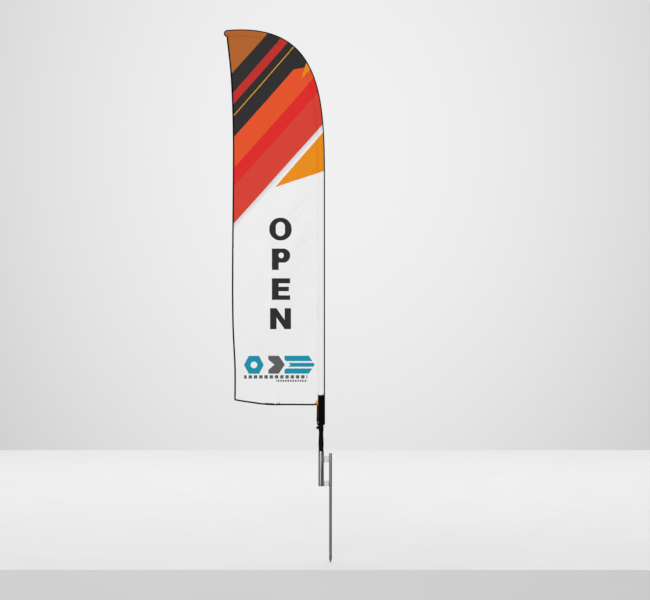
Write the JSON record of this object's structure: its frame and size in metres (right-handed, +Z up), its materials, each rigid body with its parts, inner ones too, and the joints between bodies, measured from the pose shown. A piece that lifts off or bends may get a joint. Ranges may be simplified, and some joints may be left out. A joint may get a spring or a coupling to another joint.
{
  "type": "feather flag",
  "caption": "Tall feather-shaped printed flag on a sectional pole that turns freely in the socket of a steel ground spike.",
  "frame": {"origin": "on the spike rod's axis at ground level, where the reduced shank enters the ground", "axes": "+Z up along the pole, flag flying towards -X from the pole at X = -50 mm, printed face towards -Y"},
  "size_m": [0.576, 0.0408, 2.8399],
  "materials": {
    "zinc_steel": "zinc-plated, streaked along its length",
    "weld_metal": "rippled weld bead under zinc",
    "nylon": "moulded black nylon",
    "black_pole": "satin black anodised tube",
    "black_plastic": "moulded black plastic",
    "rubber": "soft rubber grip",
    "ferrule_metal": "turned aluminium",
    "fibreglass": "black pultruded fibreglass",
    "printed_cloth": "dye-printed knitted polyester",
    "black_tape": "woven binding tape",
    "orange_patch": "printed reinforcement patch",
    "black_webbing": "heavy woven webbing",
    "eyelet_metal": "nickel-plated eyelet",
    "elastic": "braided elastic cord",
    "crimp_metal": "crimped aluminium"
  },
  "bodies": {
    "ground_spike": {"spike_rod": "zinc_steel", "upper_bracket": "zinc_steel", "lower_bracket": "zinc_steel", "weld_beads": "weld_metal", "socket_tube": "zinc_steel", "socket_floor": "zinc_steel", "thrust_washer": "zinc_steel"},
    "rotator": {"rotator_liner": "nylon"},
    "lower_pole": {"lower_tube": "black_pole", "base_plug": "black_plastic", "grip_sleeve": "rubber", "top_collar": "black_plastic"},
    "upper_pole": {"middle_tube": "black_pole", "middle_stop_ring": "black_plastic", "upper_ferrule": "ferrule_metal", "upper_rod": "fibreglass", "tip_cap": "black_plastic", "flag_panel": "printed_cloth", "pole_sleeve": "printed_cloth", "sleeve_binding": "black_tape", "nose_patch": "printed_cloth", "leech_binding": "black_tape", "foot_hem": "black_tape", "corner_patch": "orange_patch", "sleeve_tab": "black_webbing", "eyelets": "eyelet_metal"},
    "tensioner": {"tension_ring": "black_plastic", "elastic_loop": "elastic", "cord_crimp": "crimp_metal"}
  },
  "joints": [
    {"name": "pole_spin", "type": "hinge", "parent": "ground_spike", "child": "rotator", "pos_m": [-0.05, 0, 0.1], "axis": [0, 0, 1], "continuous": true},
    {"name": "pole_lift", "type": "slide", "parent": "rotator", "child": "lower_pole", "axis": [0, 0, 1], "range_m": [0, 0.2]},
    {"name": "section_pull", "type": "slide", "parent": "lower_pole", "child": "upper_pole", "axis": [0, 0, 1], "range_m": [0, 0.11]},
    {"name": "tension_ring_slide", "type": "slide", "parent": "upper_pole", "child": "tensioner", "axis": [0, 0, -1], "range_m": [0, 0.03], "deforming": ["elastic_loop"]}
  ]
}
